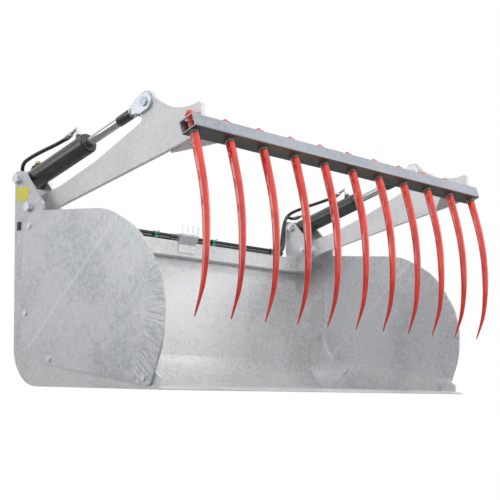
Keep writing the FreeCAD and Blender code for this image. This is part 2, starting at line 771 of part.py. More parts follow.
def hose(node, points, radius):
    """A hose or pipe swept along its route."""
    wire = smooth_path(points)
    start = wire.Edges[0]
    direction = start.tangentAt(start.FirstParameter)
    circle = Part.Wire(Part.makeCircle(radius, V(*points[0]), direction))
    feature = doc.addObject("Part::Feature", node + "_sweep")
    feature.Shape = wire.makePipeShell([circle], True, False)
    return feature


# Hoses from the manifold along the box, up behind the towers and onto the barrels
for side, name in ((-1, "left"), (1, "right")):
    x = side * arm_mid
    elbow_top = 104.0
    low = box_top + hose_radius + gap
    high = low + 2 * hose_radius + 1.0
    # Steel elbow on the rod-end port, then its hose back along the barrel
    elbow = hose(name + "_elbow_a", [
        on_cylinder(x, rod_port, 60.2),
        on_cylinder(x, rod_port, elbow_top),
        on_cylinder(x, rod_port - 62, elbow_top - 14),
    ], 8.0)
    keep(name + "_rod_elbow", elbow)
    stub = hose(name + "_elbow_b", [
        on_cylinder(x, base_port, 60.2),
        on_cylinder(x, base_port, 70),
        on_cylinder(x - side * 12, base_port - 44, 68),
    ], 8.0)
    keep(name + "_base_elbow", stub)
    rod_hose = hose(name + "_hose_a", [
        on_cylinder(x, rod_port - 62.8, elbow_top - 14.18),
        on_cylinder(x, rod_port - 92, elbow_top - 20.8),
        on_cylinder(x, 12, 120),
        (side * (arm_mid - 8), back_y + 106, 1040.0),
        (side * (arm_mid - 36), back_y + 108, 960.0),
        (side * (tower_in - 22), back_y + 66, 815.0),
        (side * (tower_in - 93), back_y - 12, low),
        (side * 52.5, back_y - 12, low),
    ], hose_radius)
    keep(name + "_rod_hose", rod_hose)
    base_hose = hose(name + "_hose_b", [
        on_cylinder(x - side * 12.3, base_port - 44.8, 67.96),
        on_cylinder(x - side * 24, base_port - 88, 66),
        (side * (tower_mid - 4), back_y + 44, 1022.0),
        (side * (tower_in - 22), back_y + 44, 975.0),
        (side * (tower_in - 22), back_y + 42, 838.0),
        (side * (tower_in - 106), back_y - 12, high),
        (side * 52.5, back_y - 12, high),
    ], hose_radius)
    keep(name + "_base_hose", base_hose)
doc.recompute()

# Checks, then one file for each node
for item in doc.Objects:
    state = item.State
    if "Invalid" in state or "Error" in state:
        raise RuntimeError("%s is %s" % (item.Name, state))
os.makedirs("parts", exist_ok=True)
for node, made in parts:
    shape = made.Shape
    if shape.isNull() or not shape.isValid():
        raise RuntimeError(node + " has no valid shape")
    if not shape.Solids:
        raise RuntimeError(node + " has no solid")
    print("%-22s %2d solid %10.1f cm3" % (node, len(shape.Solids), shape.Volume / 1000))
    shape.exportStep("parts/%s.step" % node)
print("nodes", len(parts))
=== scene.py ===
# %% [markdown]
# A galvanised grab bucket for a tractor's front loader, dressed for a picture.
#
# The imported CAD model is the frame. This script gives each of its nodes a procedural material, puts
# better shapes in the place of some of them, and adds the small things that a step file leaves out:
# beads on the barrels, crimps, hose ties, lock nuts and a patch. Everything is in metres in the CAD
# frame, with X across the bucket, Y towards the tractor and Z up.

# %% Load the frame
import math

import bmesh
import bpy
from mathutils import Matrix, Vector


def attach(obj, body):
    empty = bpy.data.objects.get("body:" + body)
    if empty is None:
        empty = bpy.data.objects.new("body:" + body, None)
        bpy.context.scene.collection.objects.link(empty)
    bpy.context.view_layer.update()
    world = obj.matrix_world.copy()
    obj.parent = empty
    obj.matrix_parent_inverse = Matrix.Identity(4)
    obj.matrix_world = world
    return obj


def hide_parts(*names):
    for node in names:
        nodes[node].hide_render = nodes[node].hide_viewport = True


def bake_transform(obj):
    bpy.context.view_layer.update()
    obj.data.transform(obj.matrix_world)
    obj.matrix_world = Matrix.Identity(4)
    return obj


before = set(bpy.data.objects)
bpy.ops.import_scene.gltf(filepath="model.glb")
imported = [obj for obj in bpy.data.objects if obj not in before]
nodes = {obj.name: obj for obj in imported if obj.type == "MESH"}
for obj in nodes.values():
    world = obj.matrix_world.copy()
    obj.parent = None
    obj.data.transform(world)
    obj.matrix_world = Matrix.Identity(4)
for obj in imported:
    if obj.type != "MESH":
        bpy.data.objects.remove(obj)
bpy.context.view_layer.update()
scene = bpy.context.scene

# %% [markdown]
# ## Places
# The CAD source gives side views as distance ahead of the cheeks' rear edge and height, both in mm.
# `at` turns such a point into the frame's metres. Each place could be typed in metres, but the side
# view's own numbers are easier to compare with the CAD source.

# %% Places in the side view
BACK = 0.600
MM = 0.001


def at(x, forward, up):
    return Vector((x * MM, BACK - forward * MM, up * MM))


CHEEK_OUT = 1024.0
ARM_MID = 952.0
PIVOT = (101.0, 811.0)
BASE_PIN = (0.0, 951.0)
ROD_PIN = (822.0, 1190.0)
SIDES = ((-1, "left"), (1, "right"))
CREASE = ((745, 714), (167, 173))
SIDE_PLATE_CENTRE = (640, 340)
TILT = math.radians(20)
BEAM = (1139.5, 1038.0)
PITCH = 198.0
print("arm pivot", at(ARM_MID, *PIVOT))

# %% [markdown]
# ## Shader maths
# A material could be built in the node editor or with one call for each link. `Socket` wraps an output
# of a node and adds Math nodes behind the usual signs, so that a material reads like a formula.

# %% Sockets and nodes
class Socket:
    def __init__(self, tree, out):
        self.tree = tree
        self.out = out

    def _math(self, operation, *values):
        """One Math node, fed by this socket and then by the values."""
        node = add_node(self.tree, "Math", dict(enumerate((self,) + values)), operation=operation)
        return Socket(self.tree, node.outputs[0])

    def __add__(self, other):
        return self._math("ADD", other)

    def __sub__(self, other):
        return self._math("SUBTRACT", other)

    def __mul__(self, other):
        return self._math("MULTIPLY", other)

    def __pow__(self, other):
        return self._math("POWER", other)

    __radd__ = __add__
    __rmul__ = __mul__

    def __rsub__(self, other):
        return (self * -1.0) + other

    def above(self, low, high):
        """0 below low, 1 above high, smooth between."""
        sockets = {"Value": self, "From Min": low, "From Max": high}
        node = add_node(self.tree, "MapRange", sockets, interpolation_type="SMOOTHSTEP")
        return Socket(self.tree, node.outputs["Result"])


def connect(tree, value, slot_in):
    """Link a socket's output to the input, or write a plain value there."""
    if isinstance(value, Socket):
        tree.links.new(value.out, slot_in)
    else:
        slot_in.default_value = value


def add_node(tree, kind, sockets, **settings):
    """Any node: its settings are set first, then the values or links of its sockets."""
    node = tree.nodes.new("ShaderNode" + kind)
    for setting, value in settings.items():
        setattr(node, setting, value)
    for slot_in, value in sockets.items():
        connect(tree, value, node.inputs[slot_in])
    return node


# %% [markdown]
# A `Material` is a Principled shader with helpers for patterns. The patterns are read in the object's
# own space, in metres, so a cloud on one plate is as large as on the next.

# %% Materials with helpers
class Material:
    """A Principled material with helpers for object-space patterns."""

    def __init__(self, name, color, rough, metallic=0.0, coat=0.0):
        self.mat = bpy.data.materials.new(name)
        self.mat.use_nodes = True
        self.tree = self.mat.node_tree
        self.shader = self.tree.nodes["Principled BSDF"]
        self.set("Base Color", (*color, 1))
        self.set("Roughness", rough)
        self.set("Metallic", metallic)
        self.set("Coat Weight", coat)

    def set(self, name, value):
        connect(self.tree, value, self.shader.inputs[name])

    def node(self, out, kind, sockets, **settings):
        """The named output of a new node of this material."""
        return Socket(self.tree, add_node(self.tree, kind, sockets, **settings).outputs[out])

    def place(self, stretch=(1, 1, 1)):
        """Object coordinates, stretched."""
        coords = self.node("Object", "TexCoord", {})
        return self.node("Vector", "Mapping", {"Vector": coords, "Scale": stretch})

    def noise(self, scale, detail=3.0, stretch=(1, 1, 1), distort=0.0, spot=None):
        """Soft random clouds between 0 and 1, read at the spot or in the object's own space."""
        sockets = {"Scale": scale, "Detail": detail, "Distortion": distort,
                   "Vector": spot or self.place(stretch)}
        return self.node("Fac", "TexNoise", sockets)

    def vector(self, x, y, z):
        """Three values as one vector, such as a spot for noise."""
        return self.node("Vector", "CombineXYZ", {"X": x, "Y": y, "Z": z})

    def zinc_shade(self, cloud, contrast):
        """Grey clouds, fine grains and a mottle between 0 and 1, and the mottle alone."""
        clouds = self.noise(cloud, 5.0, distort=0.7).above(0.34, 0.66)
        mottle = self.noise(46.0, 4.0)
        specks = self.noise(120.0, 2.0).above(0.40, 0.62)
        grain = self.cells(85.0)
        shade = (clouds - 0.5) * 0.34 + (mottle - 0.5) * 0.7 + (grain - 0.5) * 0.20 + (specks - 0.5) * 0.16
        return (shade * contrast + 0.60).above(0.0, 1.0), mottle

    def cells(self, scale):
        """The even grey of each cell of a Voronoi pattern."""
        color = self.node("Color", "TexVoronoi", {"Scale": scale, "Vector": self.place()})
        return self.node("Red", "SeparateColor", {"Color": color})

    def axis(self, letter):
        """One coordinate of the surface, in metres in the frame."""
        return self.node(letter, "SeparateXYZ", {"Vector": self.place()})

    def from_line(self, start, end):
        """How far a point is from a straight line in the side view, in metres, with its sign."""
        a, b = at(0, *start), at(0, *end)
        long = math.hypot(b.y - a.y, b.z - a.z)
        across_y, across_z = (b.z - a.z) / long, (a.y - b.y) / long
        return (self.axis("Y") - a.y) * across_y + (self.axis("Z") - a.z) * across_z

    def mix(self, factor, first, second):
        """The first colour where the factor is 0, and the second where it is 1."""
        first, second = (c if isinstance(c, Socket) else (*c, 1) for c in (first, second))
        sockets = {"Factor": factor, "A": first, "B": second}
        return self.node("Result", "Mix", sockets, data_type="RGBA")

    def bump(self, height, strength, distance):
        """Tilt the surface's shading by a height between 0 and 1, times a distance in metres."""
        sockets = {"Strength": strength, "Distance": distance, "Height": height}
        self.set("Normal", self.node("Normal", "Bump", sockets))


# %% [markdown]
# ## Materials
# Hot-dip galvanised steel has soft grey clouds a hand wide, faint grains of zinc and slightly uneven
# gloss. A photo of such a plate would repeat and needs an unwrapped surface. Noise at three
# sizes and a pattern of cells give the clouds, the mottle and the grain, and a Bump node the skin.

# %% Galvanised steel
def galvanised(name, light, dark, rough=0.40, metallic=0.35, cloud=2.2, contrast=1.0):
    m = Material(name, light, rough, metallic)
    shade, mottle = m.zinc_shade(cloud, contrast)
    m.set("Base Color", m.mix(shade, dark, light))
    m.set("Roughness", mottle * 0.22 + (rough - 0.11))
    m.bump(mottle + m.noise(160.0, 2.0) * 0.25, 0.32, 0.0008)
    return m.mat


# %% [markdown]
# The side plates were creased for stiffness and then dipped, and the zinc ran off towards their curved
# edge. Both could be geometry. They are under a millimetre high, so they are a line and a noise drawn
# in the plate's own plane, fed to the colour and to the bump. The crease's line is also painted into the
# colour as a highlight, and one side of it a little darker as shade.

# %% Side plates and beam
def side_plate_zinc_and_painted_crease(name, light, dark):
    """The side plates have a straight crease with a painted highlight along it and painted shade on one
    side, and the zinc ran in short ridges towards their front edge.
    """
    m = Material(name, light, 0.36, 0.35)
    shade, mottle = m.zinc_shade(1.8, 0.9)
    crease_far = m.from_line(*CREASE)
    crease_ridge_and_highlight = 1 - crease_far._math("ABSOLUTE").above(0.001, 0.014)
    centre = at(0, *SIDE_PLATE_CENTRE)
    away_y = m.axis("Y") - centre.y
    away_z = m.axis("Z") - centre.z
    reach = (away_y * away_y + away_z * away_z) ** 0.5
    turn = away_z._math("ARCTAN2", away_y)
    ridges = m.noise(1.0, 3.0, spot=m.vector(turn * 26.0, reach * 9.0, 0.0))
    near_edge = reach.above(0.24, 0.42) * away_y.above(0.12, -0.10)
    runs = (ridges - 0.5) * near_edge
    # painted highlight along the crease, and painted shade on one side of it (the last, subtracted term)
    tone_and_painted_crease_light = shade + crease_ridge_and_highlight * 0.34 + runs * 0.9 - crease_far.above(-0.002, 0.004) * 0.06
    m.set("Base Color", m.mix(tone_and_painted_crease_light.above(0.0, 1.0), dark, light))
    m.set("Roughness", mottle * 0.2 + 0.26)
    m.bump(mottle * 0.5 + crease_ridge_and_highlight * 0.9 + runs * 3.0, 0.45, 0.0016)
    return m.mat


def beam_zinc_and_painted_shade(name, light, dark, under):
    """The beam's underside is painted dark as shade, and brown along its front, partly as a stain and
    partly as a painted reflection of the ground.
    """
    m = Material(name, light, 0.36, 0.4)
    shade, mottle = m.zinc_shade(2.6, 0.8)
    middle = at(0, *BEAM)
    upward = (m.axis("Y") - middle.y) * math.sin(TILT) + (m.axis("Z") - middle.z) * math.cos(TILT)
    rearward = (m.axis("Y") - middle.y) * math.cos(TILT) - (m.axis("Z") - middle.z) * math.sin(TILT)
    # painted shade: the beam's lower face takes the dark underside colour
    low = 1 - upward.above(-0.0300, -0.0262)
    front = 1 - rearward.above(-0.030, 0.016)
    stain_and_ground_reflection = m.noise(9.0, 4.0, stretch=(0.35, 1, 1)).above(0.3, 0.62)
    # brown band along the underside's front: partly a stain, partly a painted reflection of the ground
    brown = m.mix(front * stain_and_ground_reflection, under, (0.17, 0.135, 0.075))
    m.set("Base Color", m.mix(low, m.mix(shade, dark, light), brown))
    m.set("Roughness", mottle * 0.2 + 0.28)
    m.bump(mottle + stain_and_ground_reflection * low, 0.3, 0.0008)
    return m.mat


# %% [markdown]
# Small parts are zinc plated, which is brighter and even. Paint on the tines and barrels is thick and
# glossy, and pools a little: a slow noise darkens it, and a clear coat gives the gloss.

# %% Plating, paint and rubber
def zinc_plated(name, color, rough=0.26):
    m = Material(name, color, rough, 0.85)
    m.set("Roughness", m.noise(60.0) * 0.2 + (rough - 0.1))
    m.bump(m.noise(220.0), 0.1, 0.0003)
    return m.mat


def gloss_paint(name, color, shade, rough, wave=26.0, coat=0.6):
    m = Material(name, color, rough, 0.0, coat)
    pooled = m.noise(wave, 2.0, stretch=(1, 1, 0.35))
    m.set("Base Color", m.mix(pooled.above(0.35, 0.7), shade, color))
    m.set("Roughness", m.noise(40.0) * 0.12 + (rough - 0.06))
    m.bump(pooled, 0.35, 0.0012)
    m.shader.inputs["Coat Roughness"].default_value = 0.08
    return m.mat


def rubber(name):
    m = Material(name, (0.022, 0.022, 0.024), 0.42)
    m.set("Roughness", m.noise(90.0) * 0.2 + 0.34)
    m.bump(m.noise(420.0), 0.25, 0.0003)
    return m.mat


def plain(name, color, rough, metallic=0.0):
    m = Material(name, color, rough, metallic)
    m.set("Roughness", m.noise(50.0) * 0.14 + (rough - 0.07))
    m.bump(m.noise(300.0), 0.12, 0.0002)
    return m.mat


# %% [markdown]
# Each finish is made once, and its colours are chosen to match the photograph under this scene's lamps.
# `finish_of` says which node gets which. Plates that aren't named there are plain galvanised.

# %% The finishes
GALV = galvanised("galvanised_plate", (0.72, 0.725, 0.74), (0.46, 0.465, 0.485))
GALV_ARM = galvanised("galvanised_arm", (0.76, 0.765, 0.78), (0.54, 0.545, 0.565), 0.40, 0.3, 3.0, 0.8)
GALV_SIDE = side_plate_zinc_and_painted_crease("galvanised_side_plate_painted_crease", (0.66, 0.68, 0.71), (0.42, 0.44, 0.47))
GALV_SHELL = galvanised("galvanised_shell", (0.70, 0.71, 0.72), (0.42, 0.425, 0.43), 0.38, 0.35, 1.6)
# The beam's underside colour, (0.09, 0.09, 0.088), is painted shade; its brown front is partly painted
# reflection.
GALV_BEAM = beam_zinc_and_painted_shade("galvanised_beam_painted_shade", (0.44, 0.46, 0.51), (0.29, 0.31, 0.36), (0.09, 0.09, 0.088))
ZINC = zinc_plated("zinc_plate", (0.66, 0.69, 0.74))
ZINC_BLUE = zinc_plated("zinc_blue_pin", (0.50, 0.60, 0.72), 0.2)
BRASS = zinc_plated("yellow_zinc", (0.66, 0.50, 0.22), 0.28)
RED = gloss_paint("tine_red", (0.88, 0.045, 0.020), (0.66, 0.022, 0.012), 0.16, coat=0.9)
BLACK = gloss_paint("barrel_black", (0.045, 0.045, 0.043), (0.030, 0.030, 0.030), 0.32, 12.0, 0.3)
CHROME = zinc_plated("rod_chrome", (0.46, 0.47, 0.49), 0.12)
HOSE = rubber("hose_rubber")
GREEN = plain("tie_green", (0.03, 0.34, 0.20), 0.4)
PINK = plain("hose_band_pink", (0.72, 0.36, 0.33), 0.45)
YELLOW = plain("patch_yellow", (0.86, 0.80, 0.12), 0.5)
CRIMP = zinc_plated("hose_crimp", (0.16, 0.165, 0.17), 0.34)
# The collars' dark grey is painted shade, for the beam's shadow over them.
COLLAR_PAINTED_SHADE = galvanised("collar", (0.26, 0.265, 0.26), (0.15, 0.15, 0.145), 0.36, 0.4, 20.0)

finish_of = {
    "bucket_shell": GALV_SHELL,
    "top_box": GALV_SHELL,
    "left_arm": GALV_ARM,
    "right_arm": GALV_ARM,
    "left_inner_tower": GALV_ARM,
    "right_inner_tower": GALV_ARM,
    "left_side_plate": GALV_SIDE,
    "right_side_plate": GALV_SIDE,
    "grab_beam": GALV_BEAM,
    "side_plate_bolts": ZINC,
    "tower_bolts": ZINC,
    "tower_nuts": ZINC,
    "manifold_block": ZINC,
    "hose_comb": ZINC,
    "tine_nuts": RED,
}
for side, name in SIDES:
    finish_of[name + "_barrel"] = BLACK
    finish_of[name + "_gland"] = BLACK
    finish_of[name + "_piston"] = CHROME
    finish_of[name + "_rod"] = CHROME
    finish_of[name + "_rod_sleeve"] = BLACK
    finish_of[name + "_fork"] = ZINC
    finish_of[name + "_rod_pin"] = ZINC_BLUE
    finish_of[name + "_rod_elbow"] = ZINC
    finish_of[name + "_base_elbow"] = BRASS
    finish_of[name + "_rod_hose"] = HOSE
    finish_of[name + "_base_hose"] = HOSE

# %% [markdown]
# ## Carried-over nodes
# Plates, towers, arms and the beam are right in the CAD model, so they keep their shape. Their edges
# could be left sharp. A narrow bevel catches the light along them, as the zinc's rounded edges do, and
# a Weld modifier first joins the loose triangles.

# %% Dress the nodes
EDGE = 0.0012
FINE_EDGE = 0.0007


def soften(obj, width):
    weld = obj.modifiers.new("weld", "WELD")
    weld.merge_threshold = 0.00002
    bevel = obj.modifiers.new("edge", "BEVEL")
    bevel.width = width
    bevel.segments = 2
    bevel.limit_method = "ANGLE"
    bevel.angle_limit = math.radians(40)
    bevel.harden_normals = True


for name, obj in nodes.items():
    mat = RED if name.startswith("tine_0") or name.startswith("tine_1") else finish_of.get(name, GALV)
    obj.data.materials.clear()
    obj.data.materials.append(mat)
    soften(obj, FINE_EDGE if "hose" in name or "bolt" in name else EDGE)
print("dressed", len(nodes), "nodes")

# %% [markdown]
# ## Making pieces
# `keep` puts a bmesh into the scene as a piece of a CAD body. `sweep` runs a closed outline along
# points, which no single operator does when the outline changes on the way.

# %% Helpers for meshes
def keep(name, bm, mat, body, smooth=True):
    """Make the bmesh an object with one material, and let it ride on a body."""
    mesh = bpy.data.meshes.new(name)
    bmesh.ops.recalc_face_normals(bm, faces=bm.faces)
    bm.to_mesh(mesh)
    bm.free()
    for face in mesh.polygons:
        face.use_smooth = smooth
    mesh.materials.append(mat)
    obj = bpy.data.objects.new(name, mesh)
    scene.collection.objects.link(obj)
    if body:
        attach(obj, body)
    return obj


def sweep(bm, points, radius, around=12, shape=None, up=Vector((0, 0, 1))):
    """A tube along points. radius is a number or one for each point, and shape(angle, t) scales it."""
    rings = []
    last = len(points) - 1
    side = None
    for i, point in enumerate(points):
        along = (points[min(i + 1, last)] - points[max(i - 1, 0)]).normalized()
        if side is None:
            side = along.cross(up)
            if side.length < 0.1:
                side = along.cross(Vector((1, 0, 0)))
        side = (side - along * side.dot(along)).normalized()
        over = side.cross(along)
        size = radius[i] if isinstance(radius, (list, tuple)) else radius
        ring = []
        for k in range(around):
            a = 2 * math.pi * k / around
            reach = size * (shape(a, i / last) if shape else 1.0)
            ring.append(bm.verts.new(point + side * (math.cos(a) * reach) + over * (math.sin(a) * reach)))
        rings.append(ring)
    for low, high in zip(rings, rings[1:]):
        for k in range(around):
            bm.faces.new((low[k], low[(k + 1) % around], high[(k + 1) % around], high[k]))
    bm.faces.new(rings[0])
    bm.faces.new(list(reversed(rings[-1])))


def smooth_line(points, steps=8):
    """A Catmull-Rom curve through the points."""
    result = []
    for i in range(len(points) - 1):
        a = points[max(i - 1, 0)]
        b = points[i]
        c = points[i + 1]
        d = points[min(i + 2, len(points) - 1)]
        for k in range(steps):
            t = k / steps
            result.append(0.5 * (2 * b + (c - a) * t + (2 * a - 5 * b + 4 * c - d) * t ** 2
                                 + (3 * b - a - 3 * c + d) * t ** 3))
    result.append(points[-1])
    return result


def bar(bm, start, end, radius, around=24):
    """A closed round bar, or a hexagonal one with 6 around, from start to end."""
    axis = end - start
    turn = Vector((0, 0, 1)).rotation_difference(axis).to_matrix().to_4x4()
    middle = Matrix.Translation((start + end) / 2) @ turn
    bmesh.ops.create_cone(bm, cap_ends=True, segments=around, radius1=radius, radius2=radius,
                          depth=axis.length, matrix=middle)


# %% [markdown]
# ## Tines
# Each tine is forged from bar: round at the collar, with hammered flats down both flanks, a ridge along
# its outer curve, and drawn down to a point. It could be a curve with a bevel, but then its section
# would be the same all the way. So one outline is swept along the stations of the CAD blade, and a
# formula changes it. A slim collar sits on each tine below the beam.

# %% The tine's line and section
def on_beam(rearward, upward):
    forward = BEAM[0] - rearward * math.cos(TILT) - upward * math.sin(TILT)
    up = BEAM[1] - rearward * math.sin(TILT) + upward * math.cos(TILT)
    return (forward, up)


BLADE_TOP = -41.3
COLLAR_RADIUS = 20.8 * MM
blade_line = [on_beam(0, BLADE_TOP), (1174, 935), (1205, 826), (1226, 720), (1236, 612), (1236, 505),
              (1222, 395), (1183, 282)]
blade_radius = [19.5, 18.8, 18.0, 17.0, 15.5, 13.0, 9.5, 2.2]


def hammered(angle, t):
    """How far the skin is from round: flats on both flanks, wavy near the collar, and a ridge in front."""
    near_top = max(0.0, 1.0 - t / 0.55)
    sway = 0.30 * near_top * (math.sin(t * 48.0) + 0.6 * math.sin(t * 91.0 + 1.0))
    flank = abs(math.sin(angle + sway))
    flat = 0.90 - 0.03 * near_top * math.sin(t * 62.0)
    ridge = 0.05 * max(0.0, math.cos(angle)) ** 6 * min(1.0, t * 3)
    return min(1.0, flat / max(flank, 0.01)) + ridge


# %% Eleven tines and their collars
def make_tine(number, x):
    name = "tine_%02d" % number
    bm = bmesh.new()
    points = smooth_line([at(x, *p) for p in blade_line], 14)
    sizes = []
    for i in range(len(points)):
        t = i / (len(points) - 1) * (len(blade_radius) - 1)
        k = min(int(t), len(blade_radius) - 2)
        sizes.append((blade_radius[k] + (blade_radius[k + 1] - blade_radius[k]) * (t - k)) * MM)
    sweep(bm, points, sizes, 32, hammered, Vector((1, 0, 0)))
    top = at(x, *on_beam(0, 62))
    bar(bm, at(x, *on_beam(0, BLADE_TOP)), at(x, *on_beam(0, 31)), 18.0 * MM)
    bar(bm, at(x, *on_beam(0, 30)), top, 12.0 * MM)
    tine = keep(name + "_forged", bm, RED, "grab")
    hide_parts(name)
    return tine


bm = bmesh.new()
for i in range(11):
    x = (i - 5) * PITCH
    make_tine(i + 1, x)
    bar(bm, at(x, *on_beam(0, BLADE_TOP)), at(x, *on_beam(0, -20)), COLLAR_RADIUS, 32)
# painted shade: the collars take the dark collar grey
collars = keep("tine_collars", bm, COLLAR_PAINTED_SHADE, "grab")
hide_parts("tine_sleeves")
print("tines made", 11, "pitch", PITCH, "mm")

# %% [markdown]
# A thin, plain yellow patch is stuck on the outer face of the near tower. It could be paint in the
# tower's material. A thin sheet of its own, whose middle stands slightly prouder than its rim, stays
# where it is when the tower's finish changes.

# %% Yellow patch
patch_corners = ((-18, 911), (88, 906), (84, 842), (-10, 848))
bm = bmesh.new()
rows = []
for i in range(9):
    row = []
    for j in range(9):
        low = Vector(patch_corners[0]).lerp(Vector(patch_corners[1]), i / 8)
        high = Vector(patch_corners[3]).lerp(Vector(patch_corners[2]), i / 8)
        forward, up = low.lerp(high, j / 8)
        rise = 0.5 if i in (0, 8) or j in (0, 8) else 0.9
        row.append(bm.verts.new(at(-CHEEK_OUT - rise, forward, up)))
    rows.append(row)
for i in range(8):
    for j in range(8):
        bm.faces.new((rows[i][j], rows[i + 1][j], rows[i + 1][j + 1], rows[i][j + 1]))
keep("yellow_patch", bm, YELLOW, "bucket")
print("patch corners", patch_corners)

# %% [markdown]
# ## Places on a cylinder
# Each cylinder lies in its own slanting axis, from the base pin to the rod pin. `on_cylinder` takes a
# distance along that axis and a height above it, as the CAD source does.

# %% Along a cylinder
SPAN = math.hypot(ROD_PIN[0] - BASE_PIN[0], ROD_PIN[1] - BASE_PIN[1])
COS_LIFT = (ROD_PIN[0] - BASE_PIN[0]) / SPAN
SIN_LIFT = (ROD_PIN[1] - BASE_PIN[1]) / SPAN
AXIS = Vector((0, -COS_LIFT, SIN_LIFT))
OVER = Vector((0, SIN_LIFT, COS_LIFT))


def on_cylinder(x, along, above):
    forward = BASE_PIN[0] + along * COS_LIFT - above * SIN_LIFT
    up = BASE_PIN[1] + along * SIN_LIFT + above * COS_LIFT
    return at(x, forward, up)


print("cylinder length", round(SPAN, 1), "mm")

# %% [markdown]
# ## Hoses
# Real hoses run in one smooth curve from fitting to fitting. They could be bent cylinders, but those
# show their joints. Each route's points are those of the CAD source, and a NURBS curve of order 3
# rounds them. The tube is swept along points read from that curve. It runs in a curve between the bucket
# and its cylinder, whose barrel swings; the tube itself is a fixed mesh on neither body.

# %% A rounded line
def nurbs_line(name, points):
    """Points read from a NURBS curve of order 3 through the route."""
    data = bpy.data.curves.new(name + "_route", "CURVE")
    data.dimensions = "3D"
    spline = data.splines.new("NURBS")
    spline.points.add(len(points) - 1)
    for point, place in zip(spline.points, points):
        point.co = (*place, 1.0)
    spline.order_u = 3
    spline.use_endpoint_u = True
    spline.resolution_u = 14
    obj = bpy.data.objects.new(name + "_route", data)
    scene.collection.objects.link(obj)
    mesh = bpy.data.meshes.new_from_object(obj)
    line = [vertex.co.copy() for vertex in mesh.vertices]
    bpy.data.objects.remove(obj)
    bpy.data.meshes.remove(mesh)
    return line


# %% Routes of the hoses
HOSE_RADIUS = 9.0 * MM
BLOCK_END = 52.5
TIE_PLACES = (-694, -194, 220, 688)
BOX_TOP = 765.0
LOW = BOX_TOP + 9.3
HIGH = LOW + 19.0
ELBOW_TOP = 104.0
ROD_PORT = 385.0
BASE_PORT = 66.0
BOSS_TOP = 60.2
PIPE_RADIUS = 7.6 * MM


def rod_route(side):
    x = side * ARM_MID
    return [
        on_cylinder(x, 322.2, ELBOW_TOP - 14.18),
        on_cylinder(x, 293, ELBOW_TOP - 20.8),
        on_cylinder(x, 12, 120),
        at(side * 944, -106, 1040),
        at(side * 916, -108, 960),
        at(side * 856, -66, 815),
        at(side * 785, 12, LOW),
        at(side * 640, 12, LOW),
        at(side * BLOCK_END, 12, LOW),
    ]


def base_route(side):
    x = side * ARM_MID
    return [
        on_cylinder(x - side * 12.3, 21.2, 67.96),
        on_cylinder(x - side * 24, -22, 66),
        at(side * 880, -44, 1022),
        at(side * 856, -44, 975),
        at(side * 856, -42, 838),
        at(side * 772, 12, HIGH),
        at(side * 640, 12, HIGH),
        at(side * BLOCK_END, 12, HIGH),
    ]


# %% Hoses and crimped sleeves
def make_hose(node, route, start, end):
    line = nurbs_line(node, route)
    bm = bmesh.new()
    sweep(bm, line, HOSE_RADIUS, 16)
    hose = keep(node + "_tube", bm, HOSE, None)
    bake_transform(hose)
    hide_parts(node)
    length = sum((b - a).length for a, b in zip(line, line[1:]))
    print(node, "length", round(length, 2), "m")
    return line


def ferrule(name, start, direction, mat, body, long=34.0, radius=11.2):
    """A crimped sleeve with pressed rings and narrower ends."""
    bm = bmesh.new()
    count = 12
    rim = 0.86
    groove = 0.07
    places = [start + direction * (long * MM * k / count) for k in range(count + 1)]
    pressed = [(rim if k in (0, count) else 1.0 - groove * (k % 2)) * radius * MM for k in range(count + 1)]
    sweep(bm, places, pressed, 20)
    return keep(name, bm, mat, body)


for side, name in SIDES:
    rod_line = make_hose(name + "_rod_hose", rod_route(side),
                         start=at(side * 925, -108, 985), end=on_cylinder(side * ARM_MID, 60, 115))
    base_line = make_hose(name + "_base_hose", base_route(side),
                          start=at(side * 862, -44, 995), end=on_cylinder(side * ARM_MID, 16, 68))
    for kind, line in (("rod", rod_line), ("base", base_line)):
        away = (line[4] - line[0]).normalized()
        ferrule("%s_%s_hose_crimp" % (name, kind), line[0], away, CRIMP, name + "_cylinder")
        inward = (line[-5] - line[-1]).normalized()
        ferrule("%s_%s_hose_block_crimp" % (name, kind), line[-1], inward, CRIMP, "bucket")
    away = (rod_line[4] - rod_line[0]).normalized()
    ferrule(name + "_hose_band", rod_line[0] + away * 0.002, away, PINK, name + "_cylinder", 13.0, 11.8)

# %% [markdown]
# Cable ties hold each pair of hoses together on the box. A tie is a flat band drawn tight round both
# hoses, with its head and a cut tail. A torus would be round in section, so the band is swept as a flat
# strip round the pair.

# %% Cable ties
def make_tie(number, x):
    bm = bmesh.new()
    middle = at(x, 12, (LOW + HIGH) / 2)
    half_up = (HIGH - LOW) / 2 * MM
    radius = HOSE_RADIUS + 0.0012
    loop = []
    for k in range(32):
        a = 2 * math.pi * k / 32
        lift = half_up if math.sin(a) > 0 else -half_up
        loop.append(middle + Vector((0, math.cos(a) * radius, math.sin(a) * radius + lift)))
    rings = []
    for point in loop:
        out = (point - middle).normalized() * 0.0018
        rings.append([bm.verts.new(point + Vector((dx, 0, 0)) + step)
                      for dx, step in ((-0.009, Vector()), (0.009, Vector()), (0.009, out), (-0.009, out))])
    for k in range(32):
        a, b = rings[k], rings[(k + 1) % 32]
        for j in range(4):
            bm.faces.new((a[j], a[(j + 1) % 4], b[(j + 1) % 4], b[j]))
    head = middle + Vector((0.0, -radius - 0.004, half_up))
    bar(bm, head - Vector((0.011, 0, 0)), head + Vector((0.011, 0, 0)), 0.0065, 6)
    bar(bm, head, head + Vector((0.006, -0.016, 0.012)), 0.0028, 8)
    keep("hose_tie_%d" % number, bm, GREEN, "bucket", smooth=False)


for number, x in enumerate(TIE_PLACES):
    make_tie(number + 1, x)
print("ties at", TIE_PLACES)

# %% [markdown]
# ## Fittings on the cylinders
# A port fitting is a hexagon screwed into a boss. The rod-end hose leaves through a tall bent pipe,
# the base hose through a short yellow elbow. Around every welded boss lies a bead, which is a ring whose
# thickness ripples as a weld's does.

# %% Helpers for fittings
def hexagon(bm, start, direction, across, long):
    bar(bm, start, start + direction * (long * MM), across * MM / math.cos(math.pi / 6), 6)


